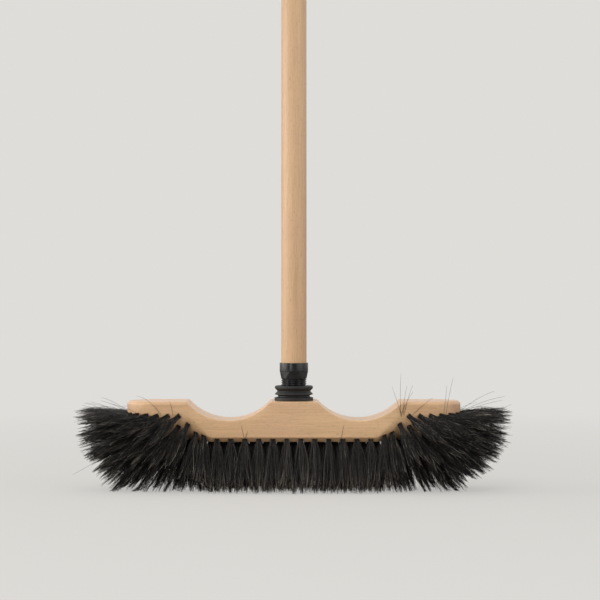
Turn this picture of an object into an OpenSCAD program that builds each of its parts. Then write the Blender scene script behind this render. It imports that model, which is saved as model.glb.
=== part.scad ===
// Push broom: a beech head filled with black hair tufts, a plastic socket pressed into the head
// and a round beech stick whose threaded plastic ferrule screws into that socket.
// Millimetres. Z runs up the stick, X along the head, and the front faces -Y.
// The tips of the middle tufts stand on Z = 0, in the middle of the head.

/* [Head] */
// Length of the wooden head from end to end
head_length = 316; // [304:1:330]
// Depth of the wooden head from front to back
head_depth = 58; // [56:1:62]
// Height of the wood from its flat underside to its top
head_height = 37.5; // [36:0.5:40]
// Height of the wood that is left under each hollow
hollow_height = 20; // [18:0.1:23]
// Radius of each hollow in the top
hollow_radius = 53; // [51:0.2:55]
// Distance from the middle of the head to the middle of each hollow
hollow_offset = 61.5; // [60:0.1:63]
// Chamfer along the lower front and back edges
lower_chamfer = 4.4; // [4:0.1:5]
// Chamfer along the top edges of the middle
top_chamfer = 1.2; // [0.5:0.1:2]
// Chamfer along the top edges of the ends
end_chamfer = 2.2; // [1:0.1:4]
// Distance from the middle at which the lower edges start to rise
rise_start = 78; // [76:0.5:80]
// Distance from the middle at which the lower edges meet the round ends
rise_end = 99; // [97:0.5:101]

/* [Hair] */
// Free length of the hair under the flat underside
hair_length = 47.5; // [40:0.5:54]
// Free length of the hair that fans out from the ends
fan_length = 48; // [40:1:52]
// Distance between tufts along the middle rows
row_pitch = 13.1; // [12:0.1:13.4]
// Distance between tufts around the ends
ring_pitch = 10; // [9.5:0.1:12]
// Spread of a tuft at its root
root_spread = 1.6; // [1:0.1:1.8]
// Spread of a tuft at its tip
tip_spread = 4.8; // [2:0.1:5]
// Radius of a strand at its root
strand_root = 1; // [0.6:0.05:1.1]
// Radius of a strand at its tip
strand_tip = 0.5; // [0.2:0.05:0.6]

/* [Stick] */
// Diameter of the stick
stick_diameter = 24; // [23:0.5:25]
// Height of the top of the stick above the tips of the hair
overall_height = 1400; // [1200:10:1600]
// Diameter of the stick's turned-down end inside the ferrule
tenon_diameter = 16; // [14:0.5:17]

/* [Screw joint] */
// Outside diameter of the ferrule's thread
thread_diameter = 23.8; // [23.2:0.1:24.2]
// Depth of the thread
thread_depth = 1.2; // [0.8:0.1:1.4]
// Rise of the thread in one turn
thread_pitch = 2; // [1.5:0.1:2.5]
// Clearance between the thread and the socket
thread_clearance = 0.35; // [0.3:0.05:0.5]
// Length of thread that is screwed into the socket
engaged_length = 21.4; // [18:0.1:23]
// Length of thread that shows above the socket
bare_thread = 6.9; // [4:0.1:10]
// Height of the socket's ribbed collar above the wood
collar_height = 14.2; // [13:0.1:16]
// Diameter of the collar's base flange
flange_diameter = 36.8; // [36:0.1:38]
// Diameter of the ferrule around the stick
ferrule_diameter = 27; // [26.6:0.1:28]

/* [Hidden] */
$fn = 96;
hair_black = [0.07, 0.065, 0.06];
beech = [0.8, 0.66, 0.5];
black_plastic = [0.1, 0.1, 0.11];
zinc_steel = [0.75, 0.75, 0.72];

underside = hair_length;
head_top = underside + head_height;
end_radius = head_depth / 2;
round_z = underside + end_radius;
dome_x = head_length / 2 - end_radius;
flat_half = end_radius - lower_chamfer;
hollow_z = underside + hollow_height + hollow_radius;
past = 1;

// The rows across the middle, front to back, and the rings around each end, outermost first
outer_row_y = end_radius - lower_chamfer / 2;
row_y = [-outer_row_y, -16.5, -5.5, 5.5, 16.5, outer_row_y];
row_count = [12, 13, 16, 15, 12, 13];
ring_start = [84.5, 90, 106, 118];
ring_settled = [104.5, 108, 116, 119];
ring_first_slope = [44, 75, 68, 74];
ring_slope = [8, 29, 50, 72];
back_gap = 0.5;
row_names = [for (j = [1:len(row_y)]) str("centre_row_", j)];
ring_names = [for (end = ["left", "right"], k = [1:len(ring_slope)]) str(end, "_ring_", k)];

// The hair fans out from a point over each end of the head, which is lower for the hair further out
fan_x = 86;
fan_rise = 6.5;
fan_drop = 15;
drop_from = 122;
drop_to = 156;
middle_lean = 0.36;
end_lean = 0.7;
lean_from = 80;
lean_to = 110;

// A slice of wood holds each row: its width, how proud it stands and how deep it sits
slice_width = 5.6;
slice_proud = 0.6;
slice_depth = 2.4;
slice_step = 5;
slice_margin = 3;
strand_sink = 0.8;
outer_strands = 3;
inner_strands = 2;

// A flat wire anchor sits at the bottom of each tuft's hole
hole_depth = 9;
anchor = [4.4, 1.2, 0.4];

// The collar's flange, two ribs and grooves: distance inside the flange's rim, share of the height
collar_profile = [[0, 0], [0, 0.21], [3.2, 0.25], [3.2, 0.36], [0.4, 0.41], [0.4, 0.46],
    [2.6, 0.62], [2.6, 0.66], [0.3, 0.82], [0.3, 0.94], [1.2, 1]];
collar_top = head_top + collar_height;
floor_gap = 0.3;
floor_thickness = 3;
socket_floor = collar_top - engaged_length - floor_gap;
socket_bottom = socket_floor - floor_thickness;
spigot_radius = 14.2;
barb_height = 0.35;
barb_pitch = 3;
flange_radius = flange_diameter / 2;
thread_radius = thread_diameter / 2;
bore_radius = thread_radius + thread_clearance;

shank_bottom = collar_top - engaged_length;
ferrule_base = collar_top + bare_thread;
taper_height = 6.9;
grip_height = 7.9;
ferrule_radius = ferrule_diameter / 2;
ferrule_top = ferrule_base + taper_height + grip_height;
seat_floor = 2.4;
seat_bottom = ferrule_base + seat_floor;
tip_thickness = 3.7;
tenon_bottom = shank_bottom + tip_thickness;
stick_radius = stick_diameter / 2;
seat_step = 0.4;
seat_radius = stick_radius - seat_step;
tenon_radius = tenon_diameter / 2;
taper = 1.4;
flat_distance = ferrule_radius - 0.85;
thread_sides = 16;
thread_rows = 4;
thread_lead_in = 2;

screw_radius = 1.8;
screw_head_radius = 3.6;
screw_length = 26;
screw_point = 2;
screw_point_radius = 0.3;
screw_gap = 0.3;
screw_sink = 0.1;

function unit(v) = v / norm(v);
function share(a, b, v) = min(1, max(0, (v - a) / (b - a)));
function mix(a, b, t) = a + (b - a) * t;

// A closed solid through rings of points, each ring right-handed about the way it runs
module tube(rings) {
    m = len(rings[0]);
    last = len(rings) - 1;
    start_cap = [for (j = [1:m - 2]) [0, j, j + 1]];
    end_cap = [for (j = [1:m - 2]) [last * m, last * m + j + 1, last * m + j]];
    sides = [for (i = [0:last - 1], j = [0:m - 1])
        let (a = i * m + j, b = i * m + (j + 1) % m)
        each [[a, a + m, b + m], [a, b + m, b]]];
    polyhedron([for (ring = rings) each ring], concat(start_cap, sides, end_cap));
}

// A point on the wood's lower skin where it slopes by this angle, with side -1 for the front
function skin(x, side, slope) =
    let (f = share(rise_start, rise_end, x))
    let (edge = slope < 45 ? [end_radius, underside + lower_chamfer] : [flat_half, underside])
    [
        x,
        side * (f * end_radius * cos(slope) + (1 - f) * edge[0]),
        f * (round_z - end_radius * sin(slope)) + (1 - f) * edge[1]
    ];

function row_slope(j) = abs(row_y[j]) > flat_half ? 45 : 90;

// Place and outward direction of the skin on a middle row
function row_frame(j, x) =
    let (slope = row_slope(j), side = sign(row_y[j]))
    [
        [x, row_y[j], slope == 45 ? underside + lower_chamfer / 2 : underside],
        [0, side * cos(slope), -sin(slope)]
    ];

// A ring first turns up the skin from its start, then runs level to the round end
function ring_turn(k) =
    let (climb = (ring_first_slope[k] - ring_slope[k]) * PI / 180 * end_radius)
    norm([ring_settled[k] - ring_start[k], climb]);
function ring_x(k, along) =
    along < ring_turn(k)
        ? mix(ring_start[k], ring_settled[k], along / ring_turn(k))
        : ring_settled[k] + along - ring_turn(k);
function ring_side(k) = ring_turn(k) + dome_x - ring_settled[k];
function ring_radius(k) = end_radius * cos(ring_slope[k]);
function ring_length(k) = 2 * ring_side(k) + PI * ring_radius(k);
function ring_gaps(k) = round(ring_length(k) / ring_pitch);

// Place and outward direction of the skin on a ring of the right end, this far along it from the front
function ring_frame(k, along) =
    let (side_length = ring_side(k), back = ring_length(k) - along)
    along < side_length || back < side_length
        ? let (side = along < side_length ? -1 : 1)
            let (x = ring_x(k, min(along, back)))
            let (settle = share(ring_start[k], ring_settled[k], x))
            let (slope = mix(ring_first_slope[k], ring_slope[k], settle * settle))
            [skin(x, side, slope), [0, side * cos(slope), -sin(slope)]]
        : let (turn = (along - side_length) / ring_radius(k) * 180 / PI, slope = ring_slope[k])
            let (out = [cos(slope) * sin(turn), -cos(slope) * cos(turn), -sin(slope)])
            [[dome_x, 0, round_z] + end_radius * out, out];

function row_reach(j) = (row_count[j] - 1) / 2 * row_pitch;
function row_roots(j) = [for (i = [0:row_count[j] - 1]) row_frame(j, i * row_pitch - row_reach(j))];
// A ring stops half a pitch short at the back, so the tufts there stand between those at the front
function ring_roots(k) =
    [for (i = [0:ring_gaps(k)]) ring_frame(k, i * ring_length(k) / (ring_gaps(k) + back_gap))];

function row_path(j) = [for (s = [-1, 1]) row_frame(j, s * (row_reach(j) + slice_margin))];
function ring_path(k) =
    let (steps = round(ring_length(k) / slice_step))
    [for (i = [0:steps])
        ring_frame(k, -slice_margin + i * (ring_length(k) + 2 * slice_margin) / steps)];

// The way the hair leaves its root
function hair_way(p) =
    let (lean = mix(middle_lean, end_lean, share(lean_from, lean_to, abs(p.x))))
    let (fan_z = head_top + fan_rise - fan_drop * share(drop_from, drop_to, abs(p.x)))
    unit([sign(p.x) * max(0, abs(p.x) - fan_x), lean * p.y, p.z - fan_z]);

function hair_reach(p) = min(fan_length, p.z / -hair_way(p).z);

// The slice of the head that one row of tufts is set in
module slice(path) {
    n = len(path) - 1;
    tube([for (i = [0:n])
        let (p = path[i][0], out = path[i][1])
        let (along = unit(path[min(i + 1, n)][0] - path[max(i - 1, 0)][0]))
        let (wide = unit(cross(along, out)) * slice_width / 2)
        [p + wide + out * slice_proud, p + wide - out * slice_depth,
            p - wide - out * slice_depth, p - wide + out * slice_proud]]);
}

// One tuft: strands that part from each other between root and tip
module tuft(root, strands) {
    p = root[0];
    out = root[1];
    way = hair_way(p);
    tip = p + way * hair_reach(p);
    across = unit(cross(way, [0, 1, 0.1]));
    deep = cross(way, across);
    flat_a = unit(cross(out, [0.1, 1, 0.2]));
    flat_b = cross(out, flat_a);
    for (i = [0:strands - 1]) {
        turn = i * 360 / strands;
        base = p - out * strand_sink + root_spread * (cos(turn) * flat_a + sin(turn) * flat_b);
        end = tip + tip_spread * (cos(turn) * flat_a + sin(turn) * flat_b);
        corners = [for (c = [0, 120, 240]) cos(c) * across + sin(c) * deep];
        tube([
            [for (c = corners) base + strand_root * c],
            [for (c = corners)
                let (q = end + strand_tip * c)
                [q.x, q.y, hair_reach(p) < fan_length ? 0 : max(0, q.z)]]
        ]);
    }
}

module hair_row(path, roots, strands) {
    color(hair_black) {
        slice(path);
        for (root = roots) tuft(root, strands);
    }
}

module centre_row(j) {
    hair_row(row_path(j), row_roots(j), row_slope(j) == 45 ? outer_strands : inner_strands);
}

module right_ring(k) {
    hair_row(ring_path(k), ring_roots(k), k == 0 ? outer_strands : inner_strands);
}

module left_ring(k) {
    mirror([1, 0, 0]) right_ring(k);
}

// Flat wire anchors, one at the bottom of each tuft's hole
module anchors(roots) {
    color(zinc_steel) for (root = roots) {
        way = hair_way(root[0]);
        translate(root[0] - way * hole_depth)
            rotate([0, acos(way.z), atan2(way.y, way.x)]) cube(anchor, center = true);
    }
}

module centre_anchors() {
    anchors([for (j = [0:len(row_y) - 1]) each row_roots(j)]);
}

module right_anchors() {
    anchors([for (k = [0:len(ring_slope) - 1]) each ring_roots(k)]);
}

module left_anchors() {
    mirror([1, 0, 0]) right_anchors();
}

// The head's section across its round ends, right half
module round_half() {
    intersection() {
        translate([0, round_z]) circle(r = end_radius);
        translate([0, underside - past]) square([end_radius + past, end_radius + past]);
    }
    polygon([[0, round_z], [end_radius, round_z], [end_radius, head_top - end_chamfer],
        [end_radius - end_chamfer, head_top], [0, head_top]]);
}

module round_section() {
    round_half();
    mirror([1, 0]) round_half();
}

module flat_section() {
    polygon([[-flat_half, underside], [flat_half, underside],
        [end_radius, underside + lower_chamfer], [end_radius, head_top - top_chamfer],
        [end_radius - top_chamfer, head_top], [top_chamfer - end_radius, head_top],
        [-end_radius, head_top - top_chamfer], [-end_radius, underside + lower_chamfer]]);
}

// Draws a section across the head along X from one place to another
module along_head(from, to) {
    translate([from, 0, 0]) rotate([90, 0, 90]) linear_extrude(to - from) children();
}

module end_of_head() {
    hull() {
        along_head(rise_start - past, rise_start) flat_section();
        along_head(rise_end, rise_end + past) round_section($fn = 48);
    }
    along_head(rise_end, dome_x) round_section();
    translate([dome_x, 0, 0]) rotate_extrude() round_half();
}

module head_block() {
    color(beech) difference() {
        union() {
            along_head(-rise_start, rise_start) flat_section();
            end_of_head();
            mirror([1, 0, 0]) end_of_head();
        }
        for (side = [-1, 1])
            translate([side * hollow_offset, 0, hollow_z]) rotate([90, 0, 0])
                cylinder(r = hollow_radius, h = head_depth + 2 * past, center = true);
        translate([0, 0, socket_bottom]) cylinder(r = spigot_radius, h = head_height);
        for (j = [0:len(row_y) - 1]) slice(row_path(j));
        for (end = [0, 1], k = [0:len(ring_slope) - 1])
            mirror([end, 0, 0]) slice(ring_path(k));
    }
}

// Ribbed collar above the wood, and the spigot with ring barbs that is pressed into it
module socket() {
    ribs = [for (p = collar_profile) [flange_radius - p[0], head_top + p[1] * collar_height]];
    color(black_plastic) difference() {
        rotate_extrude() {
            polygon(concat([[0, socket_bottom], [spigot_radius, socket_bottom],
                [spigot_radius, head_top]], ribs, [[0, collar_top]]));
            for (z = [socket_bottom + barb_pitch / 2:barb_pitch:head_top - barb_pitch])
                polygon([[spigot_radius - past, z], [spigot_radius, z],
                    [spigot_radius + barb_height, z + barb_pitch / 2],
                    [spigot_radius - past, z + barb_pitch / 2]]);
        }
        translate([0, 0, socket_floor]) cylinder(r = bore_radius, h = head_height);
        translate([0, 0, collar_top - past])
            cylinder(r1 = bore_radius, r2 = bore_radius + 2 * past, h = 2 * past);
    }
}

// Right-handed thread: the radius climbs and falls once in each pitch, and winds round once in it
function thread_reach(z, turn) =
    let (phase = z / thread_pitch - turn / 360)
    let (climb = 1 - abs(2 * (phase - floor(phase)) - 1))
    let (lead_in = share(shank_bottom, shank_bottom + thread_lead_in, z))
    thread_radius - thread_depth + thread_depth * climb * lead_in;

module shank() {
    step = thread_pitch / thread_rows;
    steps = ceil((ferrule_base + past - shank_bottom) / step);
    tube([for (i = [0:steps])
        let (z = shank_bottom + i * step)
        [for (j = [0:thread_sides - 1])
            let (turn = j * 360 / thread_sides)
            let (r = thread_reach(z, turn))
            [r * cos(turn), r * sin(turn), z]]]);
}

module ferrule() {
    color(black_plastic) difference() {
        union() {
            shank();
            translate([0, 0, ferrule_base + taper_height])
                cylinder(r = ferrule_radius, h = grip_height);
            difference() {
                translate([0, 0, ferrule_base])
                    cylinder(r1 = ferrule_radius - taper, r2 = ferrule_radius, h = taper_height);
                for (turn = [45:90:315])
                    rotate([0, 0, turn]) translate([flat_distance, -ferrule_radius, ferrule_base])
                        cube([ferrule_radius, ferrule_diameter, taper_height]);
            }
        }
        translate([0, 0, seat_bottom]) cylinder(r = seat_radius, h = ferrule_top);
        translate([0, 0, tenon_bottom]) cylinder(r = tenon_radius, h = ferrule_top);
        translate([0, 0, shank_bottom - past]) cylinder(r = screw_radius + screw_gap, h = ferrule_top);
        countersink = screw_head_radius + screw_gap + past;
        translate([0, 0, shank_bottom - past]) cylinder(r1 = countersink, r2 = 0, h = countersink);
    }
}

module stick() {
    color(beech) difference() {
        union() {
            translate([0, 0, ferrule_top])
                cylinder(r = stick_radius, h = overall_height - stick_radius - ferrule_top);
            translate([0, 0, overall_height - stick_radius]) sphere(r = stick_radius);
            translate([0, 0, seat_bottom])
                cylinder(r = seat_radius, h = ferrule_top - seat_bottom + past);
            translate([0, 0, tenon_bottom])
                cylinder(r = tenon_radius, h = seat_bottom - tenon_bottom + past);
        }
        translate([0, 0, tenon_bottom - past])
            cylinder(r = screw_radius + screw_gap, h = screw_length + past);
    }
}

// Countersunk screw up the axis, which holds the ferrule on the stick's end
module ferrule_screw() {
    color(zinc_steel) translate([0, 0, shank_bottom + screw_sink]) {
        cylinder(r1 = screw_head_radius, r2 = screw_radius, h = screw_head_radius - screw_radius);
        cylinder(r = screw_radius, h = screw_length - screw_point);
        translate([0, 0, screw_length - screw_point])
            cylinder(r1 = screw_radius, r2 = screw_point_radius, h = screw_point);
    }
}

head_block();
socket();
for (j = [0:len(row_names) - 1])
    centre_row(j);
for (k = [0:len(ring_slope) - 1]) {
    left_ring(k);
    right_ring(k);
}
centre_anchors();
left_anchors();
right_anchors();
stick();
ferrule();
ferrule_screw();
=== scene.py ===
import math

import bmesh
import bpy
import numpy as np
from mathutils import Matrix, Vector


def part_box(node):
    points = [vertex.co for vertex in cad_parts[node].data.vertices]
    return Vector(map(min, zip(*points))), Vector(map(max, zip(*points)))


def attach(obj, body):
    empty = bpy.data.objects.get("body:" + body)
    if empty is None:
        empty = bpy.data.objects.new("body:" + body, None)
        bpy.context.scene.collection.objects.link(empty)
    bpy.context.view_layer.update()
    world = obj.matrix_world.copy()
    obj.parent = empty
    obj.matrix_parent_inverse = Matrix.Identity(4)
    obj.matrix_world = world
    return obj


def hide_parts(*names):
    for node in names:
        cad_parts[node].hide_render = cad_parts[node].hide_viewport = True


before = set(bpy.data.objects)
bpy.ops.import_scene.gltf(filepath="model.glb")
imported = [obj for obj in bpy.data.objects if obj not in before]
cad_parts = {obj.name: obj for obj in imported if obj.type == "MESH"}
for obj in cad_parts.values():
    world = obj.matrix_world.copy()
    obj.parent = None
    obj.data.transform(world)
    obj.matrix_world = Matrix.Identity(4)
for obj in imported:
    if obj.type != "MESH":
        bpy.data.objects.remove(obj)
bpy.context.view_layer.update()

# Beech head: one planed block with a boss for the socket, a hollow on each side of it and ends that
# are rounded underneath. It is sanded fine and left bare, and its edges are broken, more at the ends.
MM = 0.001
block_low, block_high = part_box("head_block")
half_length = block_high[0] / MM
end_radius = block_high[1] / MM
underside = block_low[2] / MM
head_top = block_high[2] / MM
round_z = underside + end_radius
dome_x = half_length - end_radius
lower_chamfer = 4.4
flat_half = end_radius - lower_chamfer
chamfer_slope = math.radians(45)
rise_start, rise_end = 78, 99
hollow_x, hollow_radius, hollow_low = 61.5, 53, underside + 20
corner_round = 1.0
middle_edge, end_edge = 0.5, 2.2
edge_change_from, edge_change_to = hollow_x + 34, hollow_x + 42
least_soft, soft_share = 0.2, 0.15
length_steps, turn_steps = 180, 32
top_steps, side_steps, slope_steps = 6, 4, 9
# Shifts the head's wood pattern so that a darker band falls on its right end
head_pattern_shift = (0.25, 0.105, 0.045)


def share(low, high, value):
    """How far a value is from low to high, from 0 to 1."""
    return min(1.0, max(0.0, (value - low) / (high - low)))


def mix(a, b, t):
    """The value that is this share of the way from a to b."""
    return a + (b - a) * t


def new_object(name, mesh, materials):
    """A new object in the scene with this mesh and these materials."""
    for material in materials:
        mesh.materials.append(material)
    piece = bpy.data.objects.new(name, mesh)
    bpy.context.scene.collection.objects.link(piece)
    return piece


def mesh_piece(name, points, faces, materials, sharp_degrees=32):
    """A new object from points in millimetres, with doubled points joined and smooth between its edges."""
    joined_gap, least_edge = 0.004 * MM, 0.002 * MM
    mesh = bpy.data.meshes.new(name)
    mesh.from_pydata([tuple(p) for p in np.asarray(points) * MM], [], faces)
    shaped = bmesh.new()
    shaped.from_mesh(mesh)
    bmesh.ops.remove_doubles(shaped, verts=shaped.verts, dist=joined_gap)
    bmesh.ops.dissolve_degenerate(shaped, edges=shaped.edges, dist=least_edge)
    bmesh.ops.recalc_face_normals(shaped, faces=shaped.faces)
    shaped.to_mesh(mesh)
    shaped.free()
    mesh.polygons.foreach_set("use_smooth", [True] * len(mesh.polygons))
    mesh.set_sharp_from_angle(angle=math.radians(sharp_degrees))
    return new_object(name, mesh, materials)


def grid_faces(rows, columns, wrap_rows, wrap_columns):
    """Quads over a grid of points that are listed row by row."""
    row_pairs = [(i, (i + 1) % rows) for i in range(rows if wrap_rows else rows - 1)]
    column_pairs = [(j, (j + 1) % columns) for j in range(columns if wrap_columns else columns - 1)]
    return [
        (a * columns + c, a * columns + d, b * columns + d, b * columns + c)
        for a, b in row_pairs
        for c, d in column_pairs
    ]


def srgb(code):
    """A linear colour with alpha from an sRGB hex code."""
    parts = [int(code[i : i + 2], 16) / 255 for i in (1, 3, 5)]
    return [p / 12.92 if p <= 0.04045 else ((p + 0.055) / 1.055) ** 2.4 for p in parts] + [1.0]


def grey(value):
    """A stop of a colour ramp that gives a plain number."""
    return [value, value, value, 1.0]


def add(tree, kind, inputs=None, stops=(), **settings):
    """Adds a node with its settings, links or sets its inputs, and fills a colour ramp's stops."""
    node = tree.nodes.new(kind)
    for key, value in settings.items():
        setattr(node, key, value)
    for key, value in (inputs or {}).items():
        if isinstance(value, bpy.types.NodeSocket):
            tree.links.new(value, node.inputs[key])
        else:
            node.inputs[key].default_value = value
    for i, (position, colour) in enumerate(stops):
        element = node.color_ramp.elements[i] if i < 2 else node.color_ramp.elements.new(position)
        element.position = position
        element.color = colour
    return node


def new_material(name):
    """A new material, with its node tree and its main shader."""
    material = bpy.data.materials.new(name)
    material.use_nodes = True
    tree = material.node_tree
    return material, tree, tree.nodes["Principled BSDF"]


def beech(name, along, pattern_shift):
    """Bare beech that was sanded fine, with its grain along one axis and its pattern shifted by an offset."""
    # Beech gives the eye an even tan with faint bands, a few pink patches, silky fibres and short dark
    # flecks. The fine sanding has closed its surface, which adds a soft pale sheen at low angles.
    material, tree, surface = new_material(name)
    place = add(tree, "ShaderNodeTexCoord").outputs["Object"]
    place = add(tree, "ShaderNodeVectorMath", {0: place, 1: pattern_shift}, operation="ADD").outputs[0]

    def grain(length, width, detail, roughness=0.5):
        """A pattern of marks with a length along the grain and a width across it, in millimetres."""
        per_metre = [1 / (width * MM)] * 3
        per_metre[along] = 1 / (length * MM)
        stretched = add(tree, "ShaderNodeVectorMath", {0: place, 1: per_metre}, operation="MULTIPLY")
        inputs = {"Vector": stretched.outputs[0], "Scale": 1.0, "Detail": detail, "Roughness": roughness}
        return add(tree, "ShaderNodeTexNoise", inputs).outputs["Fac"]

    bands = grain(250, 14, detail=3.0)
    patches = grain(70, 45, detail=1.0)
    # Real fibres are far under 0.1 mm wide and real flecks about 2 by 0.3 mm: both are drawn coarser, so
    # that they show at about 1 mm to a pixel.
    fibres = grain(22, 0.67, detail=4.0, roughness=0.6)
    flecks = grain(3.8, 0.59, detail=1.0)
    tan = [(0.32, srgb("#DAB387")), (0.5, srgb("#D2AA7F")), (0.68, srgb("#C59C71"))]
    tone = add(tree, "ShaderNodeValToRGB", {"Fac": bands}, stops=tan).outputs["Color"]
    pinker = [(0.45, grey(0.0)), (0.75, grey(0.55))]
    pink = add(tree, "ShaderNodeValToRGB", {"Fac": patches}, stops=pinker).outputs["Color"]
    mixed = {0: pink, 6: tone, 7: srgb("#D2A684")}
    warm = add(tree, "ShaderNodeMix", mixed, data_type="RGBA").outputs[2]
    darker = [(0.3, grey(0.86)), (0.62, grey(1.04))]
    streaks = add(tree, "ShaderNodeValToRGB", {"Fac": fibres}, stops=darker).outputs["Color"]
    mixed = {0: 1.0, 6: warm, 7: streaks}
    streaked = add(tree, "ShaderNodeMix", mixed, data_type="RGBA", blend_type="MULTIPLY").outputs[2]
    flecked = [(0.63, grey(0.0)), (0.72, grey(0.42))]
    marks = add(tree, "ShaderNodeValToRGB", {"Fac": flecks}, stops=flecked).outputs["Color"]
    mixed = {0: marks, 6: streaked, 7: srgb("#8F6543")}
    wood = add(tree, "ShaderNodeMix", mixed, data_type="RGBA").outputs[2]
    tree.links.new(wood, surface.inputs["Base Color"])
    silky = [(0.25, grey(0.5)), (0.75, grey(0.4))]
    shine = add(tree, "ShaderNodeValToRGB", {"Fac": fibres}, stops=silky).outputs["Color"]
    tree.links.new(shine, surface.inputs["Roughness"])
    surface.inputs["Coat Weight"].default_value = 0.5
    surface.inputs["Coat Roughness"].default_value = 0.5
    bump = add(tree, "ShaderNodeBump", {"Height": fibres, "Strength": 0.12, "Distance": 0.2 * MM})
    tree.links.new(bump.outputs["Normal"], surface.inputs["Normal"])
    return material


def top_height(x):
    """Height of the head's top over one place along it, with the hollows' corners softened."""
    off = abs(abs(x) - hollow_x)
    if off >= hollow_radius:
        return head_top
    arc = hollow_low + hollow_radius - math.sqrt(hollow_radius**2 - off**2)
    near = max(corner_round - abs(arc - head_top), 0.0) / corner_round
    return min(arc, head_top) - near**2 * corner_round / 4


def half_section(x):
    """Half of the head's outline across it, from the middle of the top out and round to the middle below."""
    rise = share(rise_start, rise_end, abs(x))
    top = top_height(x)
    broken = mix(middle_edge, end_edge, share(edge_change_from, edge_change_to, abs(x)))
    soft = least_soft + soft_share * broken
    upper_edge, lower_edge = (end_radius, underside + lower_chamfer), (flat_half, underside)

    def lower(slope, edge):
        """A point of the lower skin, between the chamfer's edge and the round end at this slope."""
        out = rise * end_radius * math.cos(slope) + (1 - rise) * edge[0]
        return out, rise * (round_z - end_radius * math.sin(slope)) + (1 - rise) * edge[1]

    inner, edge_low = end_radius - broken, top - broken
    points = [((inner - soft) * i / top_steps, top) for i in range(top_steps + 1)]
    # Two points soften each corner of the broken edge
    points += [(inner + 0.1 * soft, top - 0.2 * soft), (inner + 0.7 * soft, top - 0.7 * soft)]
    points += [(end_radius - 0.7 * soft, edge_low + 0.7 * soft)]
    points += [(end_radius - 0.2 * soft, edge_low - 0.1 * soft)]
    side_high, side_low = edge_low - soft, lower(0, upper_edge)[1]
    points += [(end_radius, mix(side_high, side_low, i / side_steps)) for i in range(side_steps)]
    slopes = [chamfer_slope * i / slope_steps for i in range(slope_steps + 1)]
    points += [lower(slope, upper_edge) for slope in slopes]
    for i in range(1, side_steps):
        edge = [mix(a, b, i / side_steps) for a, b in zip(upper_edge, lower_edge)]
        points.append(lower(chamfer_slope, edge))
    points += [lower(chamfer_slope + slope, lower_edge) for slope in slopes]
    points += [((1 - rise) * flat_half * (1 - i / side_steps), underside) for i in range(1, side_steps + 1)]
    return points


across_x = np.linspace(-dome_x, dome_x, length_steps + 1)
turns = np.radians(np.linspace(0, 180, turn_steps + 1))[1:-1]
head_rows = [[(x, -out, z) for out, z in half_section(x)] for x in across_x]
end_section = half_section(dome_x)
for t in turns:
    head_rows.append([(dome_x + out * math.sin(t), -out * math.cos(t), z) for out, z in end_section])
head_rows += [[(x, out, z) for out, z in half_section(x)] for x in across_x[::-1]]
for t in turns:
    head_rows.append([(-dome_x - out * math.sin(t), out * math.cos(t), z) for out, z in end_section])
head = mesh_piece(
    "beech_head",
    [p for row in head_rows for p in row],
    grid_faces(len(head_rows), len(end_section), True, False),
    [beech("Fine-sanded bare beech, grain along the head", 0, head_pattern_shift)],
)
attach(head, "head")
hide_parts("head_block")

# Black horsehair tufts: six rows across the middle, and four rings that fan out round each end.
# Each tuft is folded over a wire and pushed into a drilled hole. It spreads towards its tip and parts
# into a few pointed locks.
row_pitch, ring_pitch = 13.1, 10
outer_row_y = end_radius - lower_chamfer / 2
row_y = [-outer_row_y, -16.5, -5.5, 5.5, 16.5, outer_row_y]
row_count = [12, 13, 16, 15, 12, 13]
ring_start = [84.5, 90, 106, 118]
ring_settled = [104.5, 108, 116, 119]
ring_first_slope = [44, 75, 68, 74]
ring_slope = [8, 29, 50, 72]
back_gap = 0.5

# The hair of each end fans out from one place, lower for the tufts at the tip of the head. Here and in the
# next values, a pair in brackets is one value for the middle and one for the fans
fan_x, fan_rise, fan_drop = 86, 6.5, 15
fan_from, fan_to = 80, 110
drop_from, drop_to = 122, 156
side_lean = (0.4, 0.7)

# How many hairs a tuft has, how long they are and how thick
row_hairs = 150
ring_hairs = {1: 130, 2: 150, 3: 190, 4: 190}
ring_length = {1: 50, 2: 54, 3: 62, 4: 70}
fan_reach, low_reach = {"left": 125, "right": 123}, {"left": 123, "right": 112}
steep_from, steep_to = 24, 46
past_floor = 2.0
fray, fray_power = (8, 14), 0.77
hair_thick, hair_tip, hair_taper = 0.16, 0.09, 2.5
rings_of_hair, ring_crowding = 8, 1.25

# How the hairs of a tuft leave its hole, spread, cross, bow and gather into locks
hole_radius, root_fill, root_sink, exit_length = 2.4, 0.9, 2.0, 2.5
tip_radius, loose_tip, deep_share = (10.6, 11.2), 0.9, 0.85
crossing, crossing_spread = 0.3, 0.8
wild_share, wild_across, wild_deep, wild_gather = (0.15, 0.07), 1.9, 1.4, 0.1
lock_count, lock_place, lock_uneven = 6, 0.75, 0.03
least_gather, most_gather = (0.45, 0.75), (0.9, 0.97)
pinch_from, pinch_span, pinch_power = (0.45, 0.3), 0.55, (1.3, 1.0)
tight_root, flare_power = (0.08, 0.28), (0.85, 1.0)
bowed, waved = (0.9, 1.3), (0.3, 1.0)
tip_uneven, most_uneven = 0.5, 6.0

# How pale the hairs are, from 0 to 1, with painted shade and painted highlights among them
inner_painted_light, inner_from, inner_to = 0.2, 0.4, 0.6
palest, tip_paler, tip_power = (0.78, 0.84), (0.3, 0.2), 4
fan_dark_and_right_shade = {"left": 1.0, "right": 1.6}
painted_glint_low, painted_glint_high = (1.0, 0.65), (1.0, 1.15)
painted_root_shade, root_shade_span = 0.7, 0.15
glint_shade, glint_share, tip_glints = 0.88, 0.03, 0.1
painted_root_highlight_share, pale_anywhere = {"left": 0.4, "right": 0.2}, 0.006
pale_from, pale_to, pale_place, pale_span = 0.84, 1.0, 0.3, 0.2


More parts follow.
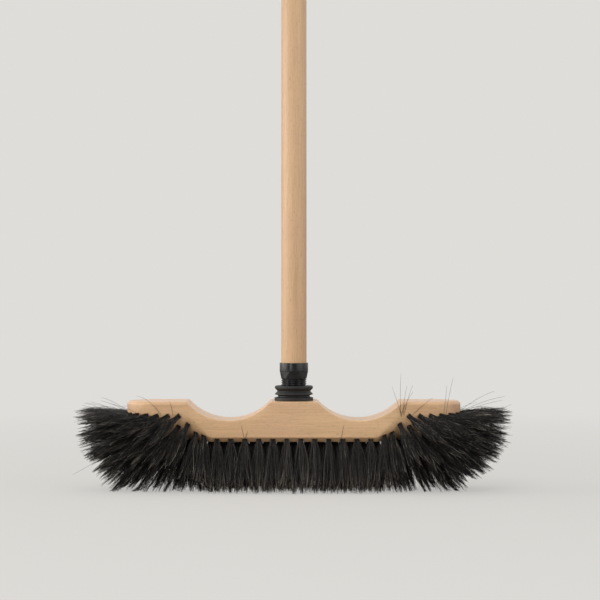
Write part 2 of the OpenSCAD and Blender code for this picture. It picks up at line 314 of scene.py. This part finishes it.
def row_roots(j):
    """Place and outward direction of each tuft in a middle row."""
    on_chamfer = abs(row_y[j]) > flat_half
    slope = chamfer_slope if on_chamfer else math.pi / 2
    z = underside + (lower_chamfer / 2 if on_chamfer else 0)
    out = np.array([0, math.copysign(math.cos(slope), row_y[j]), -math.sin(slope)])
    first = -(row_count[j] - 1) / 2 * row_pitch
    return [(np.array([first + i * row_pitch, row_y[j], z]), out) for i in range(row_count[j])]


def ring_roots(k):
    """Place and outward direction of each tuft in a ring round the right end, from front to back."""
    settled = math.radians(ring_slope[k])
    radius = end_radius * math.cos(settled)
    climb = math.radians(ring_first_slope[k] - ring_slope[k]) * end_radius
    turn_length = math.hypot(ring_settled[k] - ring_start[k], climb)
    side_length = turn_length + dome_x - ring_settled[k]
    length = 2 * side_length + math.pi * radius
    gaps = round(length / ring_pitch)
    over_chamfer = math.radians(ring_first_slope[k]) < chamfer_slope
    roots = []
    for along in (i * length / (gaps + back_gap) for i in range(gaps + 1)):
        from_end = min(along, length - along)
        if from_end < side_length:
            side = -1 if along < side_length else 1
            turning = mix(ring_start[k], ring_settled[k], from_end / turn_length)
            x = turning if from_end < turn_length else ring_settled[k] + from_end - turn_length
            turn_in = share(ring_start[k], ring_settled[k], x) ** 2
            slope = math.radians(mix(ring_first_slope[k], ring_slope[k], turn_in))
            rise = share(rise_start, rise_end, x)
            edge_out = end_radius if over_chamfer else flat_half
            edge_z = underside + (lower_chamfer if over_chamfer else 0)
            y = side * (rise * end_radius * math.cos(slope) + (1 - rise) * edge_out)
            z = rise * (round_z - end_radius * math.sin(slope)) + (1 - rise) * edge_z
            roots.append((np.array([x, y, z]), np.array([0, side * math.cos(slope), -math.sin(slope)])))
        else:
            turn = (along - side_length) / radius
            level = math.cos(settled)
            out = np.array([level * math.sin(turn), -level * math.cos(turn), -math.sin(settled)])
            roots.append((np.array([dome_x, 0, round_z]) + end_radius * out, out))
    return roots


def hair_way(p):
    """The way the hair leaves its root: down across the middle, fanning out from one point in each end."""
    lean = mix(*side_lean, share(fan_from, fan_to, abs(p[0])))
    fan_z = head_top + fan_rise - fan_drop * share(drop_from, drop_to, abs(p[0]))
    way = np.array([math.copysign(max(0, abs(p[0]) - fan_x), p[0]), lean * p[1], p[2] - fan_z])
    return way / np.linalg.norm(way)


def tuft_lines(chance, root, longest, hairs, end, in_fan):
    """Middle lines of one tuft's hairs, (hairs, rings, 3)."""
    p, out = root
    way = hair_way(p)
    from_fan = math.hypot(max(0, abs(p[0]) - fan_x), p[2] - head_top)
    steep = math.degrees(math.atan2(-way[2], abs(way[0])))
    outline = mix(fan_reach[end], low_reach[end], share(steep_from, steep_to, steep))
    reach = min(longest, (p[2] + past_floor) / -way[2], outline - from_fan)
    nearly_back = [0, 1, 0.1]
    across = np.cross(way, nearly_back)
    across /= np.linalg.norm(across)
    deep = np.cross(way, across)

    place = chance.uniform(-root_fill, root_fill, (hairs, 2))
    crossed = (1 - crossing) * place + crossing * chance.normal(0, crossing_spread, (hairs, 2))
    splay = mix(*tip_radius, in_fan)
    full = crossed * splay + chance.normal(0, loose_tip, (hairs, 2))
    wild = chance.uniform(0, 1, hairs) < mix(*wild_share, in_fan)
    full[wild] *= chance.uniform(1.0, [wild_across, wild_deep], (wild.sum(), 2))
    locks = chance.uniform(-lock_place, lock_place, (lock_count, 2))
    lock = np.argmin(((crossed[:, None] - locks[None]) ** 2).sum(2), axis=1)
    gathered = chance.uniform(mix(*least_gather, in_fan), mix(*most_gather, in_fan), lock_count)
    gather = np.where(wild, wild_gather, gathered[lock])[:, None]
    pulled = (locks[lock] * splay - full) * gather
    frayed = mix(*fray, in_fan) * chance.uniform(0, 1, hairs) ** fray_power
    length = reach * (1 + chance.normal(0, lock_uneven, lock_count)[lock]) - frayed
    bow = chance.normal(0, mix(*bowed, in_fan), (hairs, 2))
    wave = chance.normal(0, mix(*waved, in_fan), (hairs, 2))

    t = np.linspace(0, 1, rings_of_hair)[None, :, None] ** ring_crowding
    tight = mix(*tight_root, in_fan)
    flare = np.clip((t - tight) / (1 - tight), 0, 1) ** mix(*flare_power, in_fan)
    pinch = np.clip((t - mix(*pinch_from, in_fan)) / pinch_span, 0, 1) ** mix(*pinch_power, in_fan)
    spread = place[:, None] * hole_radius * (1 - flare) + (full[:, None] + pulled[:, None] * pinch) * flare
    spread = spread + bow[:, None] * np.sin(math.pi * flare) + wave[:, None] * np.sin(2 * math.pi * flare)
    run = t * (length[:, None, None] + root_sink) - root_sink
    bend = exit_length * (1 - np.exp(-np.maximum(run, 0) / exit_length)) + np.minimum(run, 0)
    lines = p + run * way + bend * (out - way)
    lines = lines + spread[..., :1] * across + spread[..., 1:] * deep_share * deep
    lowest = np.minimum(np.abs(chance.normal(0, tip_uneven, hairs)), most_uneven)[:, None]
    lines[..., 2] = np.maximum(lines[..., 2], hair_thick + lowest * np.linspace(0, 1, rings_of_hair))
    return lines


def tuft_shades(chance, y, hairs, end, in_fan):
    """Shades of one tuft's hairs, (hairs, rings): the inner rows are painted paler, as painted light where
    they lie in shade.
    """
    t = np.linspace(0, 1, rings_of_hair)[None, :] ** ring_crowding
    # Painted light: the darkest hairs of the inner rows are lifted, where they lie in shade behind the outer
    # tufts
    least = inner_painted_light * (1 - share(inner_from, inner_to, abs(y) / end_radius)) * (1 - in_fan)
    # The fans' hairs lean darker, and the right fan's more so, which is painted shade
    darkened = chance.uniform(0, 1, (hairs, 1)) ** (1 + fan_dark_and_right_shade[end] * in_fan)
    shades = least + (mix(*palest, in_fan) - least) * darkened
    # Paler towards the tips: partly browner worn tips, partly painted light for light through the thin tips
    # near the floor
    shades = shades + mix(*tip_paler, in_fan) * t**tip_power
    # Painted highlights and shade: in the fans each hair is lighter or darker in bits along its length, for
    # glints on wavy hair
    shades = shades * chance.uniform(mix(*painted_glint_low, in_fan), mix(*painted_glint_high, in_fan), shades.shape)
    # Painted shade: the fans' hairs are darker just out of their holes
    shades = shades * (1 - painted_root_shade * in_fan * np.clip(1 - t / root_shade_span, 0, 1))
    # Painted glints: short pale bits in the fans, more towards the tips, for highlights on the hair and
    # background seen between the locks
    glints = chance.uniform(0, 1, shades.shape) < (glint_share + tip_glints * t**2) * in_fan
    shades = np.where(glints, glint_shade, shades)
    # Paler streaks near the roots: a few real pale hairs anywhere, and in the fans painted highlights, more
    # on the left fan than on the right
    pale = chance.uniform(0, 1, (hairs, 1)) < pale_anywhere + painted_root_highlight_share[end] * in_fan
    near_root = pale * np.clip(1 - np.abs(t - pale_place) / pale_span, 0, 1)
    return shades + near_root * (chance.uniform(pale_from, pale_to, (hairs, 1)) - shades)


def tuft(chance, root, longest, hairs):
    """One tuft: the middle lines of its hairs, and then their shades."""
    x, y = root[0][:2]
    end = "left" if x < 0 else "right"
    in_fan = share(fan_from, fan_to, abs(x))
    lines = tuft_lines(chance, root, longest, hairs, end, in_fan)
    return lines, tuft_shades(chance, y, hairs, end, in_fan)


def hair_piece(name, lines, shades, materials):
    """One mesh of three-sided hairs that taper from root to tip, with each hair's shade stored on it."""
    hairs, rings = lines.shape[:2]
    off_axis = np.array([0.31, 0.92, 0.24])
    along = np.gradient(lines, axis=1)
    along /= np.linalg.norm(along, axis=2, keepdims=True)
    side = np.cross(along, off_axis)
    side /= np.linalg.norm(side, axis=2, keepdims=True)
    other = np.cross(along, side)
    thick = mix(hair_thick, hair_tip, np.linspace(0, 1, rings) ** hair_taper)[None, :, None]
    corners = [lines + thick * (math.cos(a) * side + math.sin(a) * other) for a in np.radians([0, 120, 240])]
    points = np.stack(corners, axis=2).reshape(-1, 3) * MM
    first = (np.arange(hairs * rings).reshape(hairs, rings) * 3)[:, :, None]
    low, high = first[:, :-1], first[:, 1:]
    j, k = np.arange(3), np.array([1, 2, 0])
    quads = np.stack([low + j, low + k, high + k, high + j], axis=3).reshape(-1, 4)
    caps = np.concatenate([first[:, 0] + [2, 1, 0], first[:, -1] + [0, 1, 2]])
    mesh = bpy.data.meshes.new(name)
    mesh.vertices.add(len(points))
    mesh.vertices.foreach_set("co", points.ravel())
    mesh.loops.add(quads.size + caps.size)
    order = np.concatenate([quads.ravel(), caps.ravel()])
    mesh.loops.foreach_set("vertex_index", order.astype(np.int32))
    mesh.polygons.add(len(quads) + len(caps))
    starts = np.concatenate([np.arange(len(quads)) * 4, quads.size + np.arange(len(caps)) * 3])
    mesh.polygons.foreach_set("loop_start", starts.astype(np.int32))
    mesh.polygons.foreach_set("use_smooth", np.ones(len(starts), bool))
    mesh.update(calc_edges=True)
    shade = mesh.attributes.new("shade", "FLOAT", "POINT")
    shade.data.foreach_set("value", np.repeat(shades.ravel(), 3).astype(np.float32))
    return new_object(name, mesh, materials)


def horsehair():
    """Dyed black horsehair, from each hair's stored shade."""
    # It gives the eye near black with browner strands, painted pale glints and root streaks that stand for
    # highlights, and a narrow sheen along each hair.
    # Real hairs are 0.1 to 0.2 mm thick: these are about twice that and fewer, so that they show.
    material, tree, surface = new_material("Dyed black horsehair")
    shade = add(tree, "ShaderNodeAttribute", attribute_name="shade").outputs["Fac"]
    dyed = [(0.0, srgb("#181716")), (0.5, srgb("#242220")), (0.75, srgb("#443E39"))]
    dyed += [(0.9, srgb("#8E867D")), (1.0, srgb("#B8B0A6"))]
    colour = add(tree, "ShaderNodeValToRGB", {"Fac": shade}, stops=dyed)
    tree.links.new(colour.outputs["Color"], surface.inputs["Base Color"])
    glossy = [(0.0, grey(0.42)), (1.0, grey(0.3))]
    shine = add(tree, "ShaderNodeValToRGB", {"Fac": shade}, stops=glossy)
    tree.links.new(shine.outputs["Color"], surface.inputs["Roughness"])
    surface.inputs["Specular IOR Level"].default_value = 0.3
    return material


hair = horsehair()
rows = {f"centre_row_{j + 1}": row_roots(j) for j in range(len(row_y))}
flip = np.array([-1, 1, 1])
for k in range(len(ring_slope)):
    rows[f"right_ring_{k + 1}"] = ring_roots(k)
    rows[f"left_ring_{k + 1}"] = [(p * flip, out * flip) for p, out in ring_roots(k)]

# Stray hairs that came loose: the place of each from front to back, then its root, its bend and its tip,
# along the head and up
stray_gap, stray_shade = 0.6, 0.4
front = -end_radius - stray_gap
strays = {
    "right_ring_1": [
        (front, (100, 72), (104, 84), (111.4, 94.8)),
        (front, (101, 71), (97, 85), (91.7, 99.5)),
        (front, (100, 73), (99, 92), (100.2, 112)),
        (front, (102, 73), (103, 88), (105.8, 100.5)),
        (front, (103, 73), (106, 88), (111, 100.5)),
        (front, (111, 73), (121, 83), (130, 89)),
        (front, (140, 73), (142, 88), (143, 100.5)),
        (front, (142, 73), (145, 92), (149, 108)),
        (-5, (156, 74), (172, 88), (190, 94)),
        (-4, (157, 74), (180, 86), (200, 89)),
        (-3, (157, 74), (180, 82), (198, 85.5)),
    ],
    "left_ring_1": [
        (front, (-124, 73), (-134, 88), (-147, 91)),
        (front, (-113, 73), (-114, 81), (-116.3, 86)),
        (-5, (-156, 74), (-170, 85), (-182, 88)),
        (-4, (-157, 74), (-170, 82), (-183, 85)),
    ],
    "left_ring_3": [(-20, (-150, 48), (-180, 32), (-208, 16))],
    "centre_row_1": [
        (front, (-46, 50), (-48, 58), (-49, 63)),
        (front, (-45.5, 50), (-44, 55), (-43, 58)),
        (front, (44.6, 50), (45.2, 57), (47, 64)),
    ],
}
first_seed = 100
for seed, (node, roots) in enumerate(rows.items()):
    chance = np.random.default_rng(first_seed + seed)
    k = int(node[-1])
    longest = ring_length[k] if "ring" in node else underside + lower_chamfer
    hairs = ring_hairs[k] if "ring" in node else row_hairs
    tufts = [tuft(chance, root, longest, hairs) for root in roots]
    t = np.linspace(0, 1, rings_of_hair)[:, None]
    for y, *places in strays.get(node, []):
        a, b, c = (np.array([x, y, z]) for x, z in places)
        line = (1 - t) ** 2 * a + 2 * t * (1 - t) * b + t**2 * c
        tufts.append((line[None], np.full((1, rings_of_hair), stray_shade)))
    lines, shades = (np.concatenate(parts) for parts in zip(*tufts))
    piece = hair_piece(f"hair_{node}", lines, shades, [hair])
    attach(piece, "head")
    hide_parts(node)

# Wire anchors: a short flat piece of zinc-plated steel wire for each tuft, driven into its hole with the
# hair folded over it. They are out of sight in the wood, so they stay as the frame has them.


def zinc_steel():
    """Drawn steel wire with a zinc coat."""
    # It gives the eye a pale grey metal with a mottle of about 1 mm, a little duller here and there.
    material, tree, surface = new_material("Zinc-plated steel wire")
    place = add(tree, "ShaderNodeTexCoord").outputs["Object"]
    spots = {"Vector": place, "Scale": 1 / (1.1 * MM), "Detail": 2.0}
    mottle = add(tree, "ShaderNodeTexNoise", spots).outputs["Fac"]
    greys = [(0.3, srgb("#A9A9A4")), (0.7, srgb("#C6C6C0"))]
    colour = add(tree, "ShaderNodeValToRGB", {"Fac": mottle}, stops=greys)
    tree.links.new(colour.outputs["Color"], surface.inputs["Base Color"])
    duller = [(0.3, grey(0.32)), (0.7, grey(0.45))]
    shine = add(tree, "ShaderNodeValToRGB", {"Fac": mottle}, stops=duller)
    tree.links.new(shine.outputs["Color"], surface.inputs["Roughness"])
    surface.inputs["Metallic"].default_value = 1.0
    return material


def dress(node, material):
    """Gives a node that stays as the frame has it a material of its own."""
    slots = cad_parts[node].data.materials
    slots.clear()
    slots.append(material)


steel = zinc_steel()
for node in ("centre_anchors", "left_anchors", "right_anchors"):
    dress(node, steel)

# Socket: black plastic moulding, with a ribbed collar that sits on the boss and a barbed spigot
# that is pressed into the wood. Its bore has the female thread.
socket_low, socket_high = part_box("socket")
flange_radius = socket_high[0] / MM
socket_bottom = socket_low[2] / MM
collar_top = socket_high[2] / MM
collar_height = collar_top - head_top
bore_end_thickness = 3
socket_floor = socket_bottom + bore_end_thickness
spigot_radius, spigot_lead_in, spigot_lead_height = 14.2, 0.6, 0.8
barb_height, barb_pitch, barb_count = 0.35, 3.0, 2
thread_radius, thread_depth, thread_pitch, thread_clearance = 12.1, 1.0, 2.0, 0.35
flank_slope, root_flat = 1.35, 0.15
mouth_chamfer, mouth_gap = 1, 0.1
collar_profile = [(0, 0), (0, 0.21), (3.2, 0.25), (3.2, 0.36), (0.4, 0.41), (0.4, 0.46)]
collar_profile += [(2.6, 0.62), (2.6, 0.66), (0.3, 0.82), (0.3, 0.94), (1.2, 1)]
socket_rounding = 0.35
lathe_sides, bore_rows = 128, 10


def rounded(points, radius, steps=4):
    """A profile with the corners between its ends rounded off, by up to a third of the shorter side."""
    points = [np.array(p, float) for p in points]
    out = [points[0]]
    for a, b, c in zip(points, points[1:], points[2:]):
        reach = min(radius, np.linalg.norm(b - a) / 3, np.linalg.norm(c - b) / 3)
        start = b + (a - b) / np.linalg.norm(a - b) * reach
        end = b + (c - b) / np.linalg.norm(c - b) * reach
        for t in np.linspace(0, 1, steps):
            out.append((1 - t) ** 2 * start + 2 * t * (1 - t) * b + t**2 * end)
    return out + [points[-1]]


def thread(z, turn, radius):
    """Radius of a right-handed thread at a height and a turn about the axis."""
    phase = (z / thread_pitch - turn / (2 * math.pi)) % 1
    climb = min(1.0, max(0.0, flank_slope * (1 - abs(2 * phase - 1)) - root_flat))
    return radius - thread_depth + thread_depth * climb


def lathe(name, profile, closed, materials, sharp_degrees=32):
    """Turns a profile about the stick's axis, where profile(turn) lists (radius, height)."""
    turns = [2 * math.pi * i / lathe_sides for i in range(lathe_sides)]
    rows = [[(r * math.cos(t), r * math.sin(t), z) for r, z in profile(t)] for t in turns]
    faces = grid_faces(len(rows), len(rows[0]), True, closed)
    return mesh_piece(name, [p for row in rows for p in row], faces, materials, sharp_degrees)


def black_plastic(name, roughness, tint, worn):
    """Black polypropylene as it comes out of the mould, with rubbed patches."""
    # It gives the eye a near black with soft reflections, and a few greyer, duller patches of 6 mm.
    # The mould's own grain is under 0.1 mm: it is drawn 0.4 mm wide, so that it breaks the reflections.
    material, tree, surface = new_material(name)
    place = add(tree, "ShaderNodeTexCoord").outputs["Object"]
    fine = {"Vector": place, "Scale": 1 / (0.4 * MM), "Detail": 2.0}
    grain = add(tree, "ShaderNodeTexNoise", fine).outputs["Fac"]
    patchy = {"Vector": place, "Scale": 1 / (6 * MM), "Detail": 3.0}
    rubbed = add(tree, "ShaderNodeTexNoise", patchy).outputs["Fac"]
    blacks = [(0.35, srgb(tint)), (0.8, srgb(worn))]
    colour = add(tree, "ShaderNodeValToRGB", {"Fac": rubbed}, stops=blacks)
    tree.links.new(colour.outputs["Color"], surface.inputs["Base Color"])
    dulled = [(0.3, grey(roughness)), (0.7, grey(roughness + 0.12))]
    shine = add(tree, "ShaderNodeValToRGB", {"Fac": rubbed}, stops=dulled)
    tree.links.new(shine.outputs["Color"], surface.inputs["Roughness"])
    bump = add(tree, "ShaderNodeBump", {"Height": grain, "Strength": 0.1, "Distance": 0.05 * MM})
    tree.links.new(bump.outputs["Normal"], surface.inputs["Normal"])
    return material


ribs = [(flange_radius - inset, head_top + rise * collar_height) for inset, rise in collar_profile]
mouth = thread_radius + thread_clearance + mouth_chamfer
outside = [(0, socket_bottom), (spigot_radius - spigot_lead_in, socket_bottom)]
outside += [(spigot_radius, socket_bottom + spigot_lead_height)]
for i in range(barb_count):
    barb_low = socket_bottom + barb_pitch * (i + 0.5)
    barb_top = barb_low + barb_pitch / 2
    outside += [(spigot_radius, barb_low), (spigot_radius + barb_height, barb_top), (spigot_radius, barb_top)]
outside += [(spigot_radius, head_top)] + ribs
outside += [(mouth, collar_top), (mouth - mouth_chamfer, collar_top - mouth_chamfer)]
outside = rounded(outside, socket_rounding)
bore_top = collar_top - mouth_chamfer - mouth_gap
bore_heights = np.arange(bore_top, socket_floor, -thread_pitch / bore_rows)


def socket_profile(turn):
    """The socket's outside from its foot up to its mouth, and the threaded bore down to its floor."""
    bore = [(thread(z, turn, thread_radius + thread_clearance), z) for z in bore_heights]
    return [tuple(p) for p in outside] + bore + [(0, socket_floor)]


matt_plastic = black_plastic("Moulded black polypropylene, matt", 0.48, "#141414", "#232221")
socket = lathe("socket_moulding", socket_profile, False, [matt_plastic])
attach(socket, "head")
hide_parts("socket")

# Ferrule: black plastic moulding that is pushed on the stick's end and held by a screw. It has a plain
# band, a taper with four flats to grip, and the male thread, a few turns of which show above the collar.
ferrule_low, ferrule_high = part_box("ferrule")
ferrule_radius = ferrule_high[0] / MM
shank_bottom = ferrule_low[2] / MM
ferrule_top = ferrule_high[2] / MM
bare_thread, taper_height, taper = 6.9, 6.9, 1.4
ferrule_base = collar_top + bare_thread
taper_top = ferrule_base + taper_height
seat_floor, tip_thickness = 2.4, 3.7
seat_bottom = ferrule_base + seat_floor
tenon_bottom = shank_bottom + tip_thickness
seat_radius, tenon_radius, pilot_radius, countersink = 11.6, 8, 2.1, 3.9
flat_depth, flat_end = 1.4, 0.2
flat_distance = ferrule_radius - flat_depth
thread_lead_in, shank_rows, body_steps = 2, 12, 24
tip_gap, base_gap, band_gap = 0.05, 0.25, 0.1
shank_heights = np.arange(shank_bottom + tip_gap, ferrule_base - base_gap, thread_pitch / shank_rows)
body_heights = np.linspace(ferrule_base, taper_top, body_steps + 1)
pilot_bottom = shank_bottom + countersink - pilot_radius
inside = [(ferrule_radius, taper_top + band_gap), (ferrule_radius, ferrule_top), (seat_radius, ferrule_top)]
inside += [(seat_radius, seat_bottom), (tenon_radius, seat_bottom), (tenon_radius, tenon_bottom)]
inside += [(pilot_radius, tenon_bottom), (pilot_radius, pilot_bottom), (countersink, shank_bottom)]
ferrule_rounding, ferrule_sharp = 0.3, 24
inside = rounded(inside, ferrule_rounding)


def ferrule_profile(turn):
    """The threaded shank upwards, the taper with its flats, the band, and the inside down to the tip."""
    root = thread_radius - thread_depth
    shank = []
    for z in shank_heights:
        lead_in = share(shank_bottom, shank_bottom + thread_lead_in, z)
        shank.append((root + (thread(z, turn, thread_radius) - root) * lead_in, z))
    from_flat = (turn % (math.pi / 2)) - math.pi / 4
    body = []
    for z in body_heights:
        radius = ferrule_radius - taper * (1 - share(ferrule_base, taper_top, z))
        in_flat = z < taper_top - flat_end
        body.append((min(radius, flat_distance / math.cos(from_flat)) if in_flat else radius, z))
    return shank + [(root, ferrule_base)] + body + [tuple(p) for p in inside]


satin_plastic = black_plastic("Moulded black polypropylene, satin", 0.22, "#121213", "#252526")
ferrule = lathe("ferrule_moulding", ferrule_profile, True, [satin_plastic], ferrule_sharp)
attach(ferrule, "handle")
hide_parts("ferrule")

# Ferrule screw: a countersunk steel screw, driven up through the ferrule's tip into the stick's end.
# The ferrule and the stick hide it, so it stays as the frame has it.
dress("ferrule_screw", steel)

# Stick: a turned beech rod with a round top, sanded fine and left bare like the head.
# Its seat and tenon are inside the ferrule. It stays as the frame has it, with the grain along it.
dress("stick", beech("Fine-sanded bare beech, grain along the stick", 2, (0.0, 0.0, 0.0)))

# Studio: a wide pale floor that fades into a pale background. A large light from the left, one from high
# in front and a fill light from the right do most of the work, with weak ones from above and from low in
# front. The camera is level, a little above the joint, and looks straight at the front.
floor_half = 30
corners = [(x * floor_half, y * floor_half, 0) for x, y in ((-1, -1), (1, -1), (1, 1), (-1, 1))]
floor_mesh = bpy.data.meshes.new("floor")
floor_mesh.from_pydata(corners, [], [(0, 1, 2, 3)])
floor_material, tree, surface = new_material("Pale matt floor")
floor = new_object("floor", floor_mesh, [floor_material])
surface.inputs["Roughness"].default_value = 0.95
surface.inputs["Specular IOR Level"].default_value = 0.0
# The floor is paler to the camera than to the light, so that it throws less light up at the object
seen = add(tree, "ShaderNodeLightPath").outputs["Is Camera Ray"]
tones = {0: seen, 6: srgb("#8E8C88"), 7: srgb("#C6C4C0")}
tone = add(tree, "ShaderNodeMix", tones, data_type="RGBA").outputs[2]
tree.links.new(tone, surface.inputs["Base Color"])
place = add(tree, "ShaderNodeTexCoord").outputs["Object"]
away = add(tree, "ShaderNodeVectorMath", {0: place}, operation="LENGTH").outputs["Value"]
fading = {"Value": away, "From Min": 0.15, "From Max": 1.3, "To Min": 0.6}
fade = add(tree, "ShaderNodeMapRange", fading).outputs["Result"]
fade = add(tree, "ShaderNodeMath", {0: fade, 1: seen}, operation="MULTIPLY").outputs["Value"]
glow = add(tree, "ShaderNodeEmission", {"Color": srgb("#DFDDD9"), "Strength": 1.0}).outputs["Emission"]
faded = add(tree, "ShaderNodeMixShader", {0: fade, 1: surface.outputs["BSDF"], 2: glow}).outputs["Shader"]
tree.links.new(faded, tree.nodes["Material Output"].inputs["Surface"])

# Reflections see a room that is darker on the camera's side, so that the black plastic stays black
world = bpy.data.worlds.new("Pale studio")
bpy.context.scene.world = world
world.use_nodes = True
tree = world.node_tree
rays = add(tree, "ShaderNodeLightPath").outputs
tones = {0: rays["Is Camera Ray"], 6: srgb("#F6F5F3"), 7: srgb("#DFDDD9")}
colour = add(tree, "ShaderNodeMix", tones, data_type="RGBA")
direction = add(tree, "ShaderNodeTexCoord").outputs["Generated"]
toward = add(tree, "ShaderNodeSeparateXYZ", {0: direction}).outputs["Y"]
depth = {"Value": toward, "From Min": -0.9, "From Max": 0.1, "To Min": 0.12, "To Max": 1.0}
room = add(tree, "ShaderNodeMapRange", depth).outputs["Result"]
levels = {0: rays["Is Glossy Ray"], 2: 0.7, 3: room}
soft = add(tree, "ShaderNodeMix", levels, data_type="FLOAT").outputs[0]
levels = {0: rays["Is Camera Ray"], 2: soft, 3: 1.0}
strength = add(tree, "ShaderNodeMix", levels, data_type="FLOAT").outputs[0]
tree.links.new(colour.outputs[2], tree.nodes["Background"].inputs["Color"])
tree.links.new(strength, tree.nodes["Background"].inputs["Strength"])


def area_light(name, place, target, width, height, power, colour):
    """A rectangular lamp that faces its target, in metres and watts."""
    light = bpy.data.lights.new(name, "AREA")
    light.shape = "RECTANGLE"
    light.size = width
    light.size_y = height
    light.energy = power
    light.color = srgb(colour)[:3]
    lamp = bpy.data.objects.new(name, light)
    way = [t - p for t, p in zip(target, place)]
    length = math.sqrt(sum(w * w for w in way))
    lamp.location = place
    lamp.rotation_euler = (math.acos(-way[2] / length), 0, math.atan2(way[1], way[0]) - math.pi / 2)
    bpy.context.scene.collection.objects.link(lamp)


area_light("window_light", (-2.4, -0.2, 0.9), (0, 0, 0.4), 2.6, 1.6, 36, "#FFFDF8")
area_light("fill_light", (1.9, -1.6, 0.9), (0, 0, 0.25), 2.4, 1.6, 16, "#F8FAFF")
area_light("top_light", (-0.4, 0.2, 2.9), (0, 0, 0.1), 1.6, 1.6, 5, "#FFFFFF")
area_light("front_light", (-0.8, -2.4, 2.1), (0, 0, 0.1), 1.4, 1.0, 23, "#FFFFFF")
area_light("low_light", (-1.0, -2.2, 0.45), (0, 0, 0.05), 0.7, 0.7, 5, "#FFFDF8")

camera_data = bpy.data.cameras.new("camera")
camera_data.sensor_width = 36
camera_data.lens = 113.7
camera = bpy.data.objects.new("camera", camera_data)
camera.location = (0.0058, -1.8, 0.1804)
camera.rotation_euler = (math.pi / 2, 0, 0)
bpy.context.scene.collection.objects.link(camera)
bpy.context.scene.camera = camera
bpy.context.scene.view_settings.view_transform = "Standard"
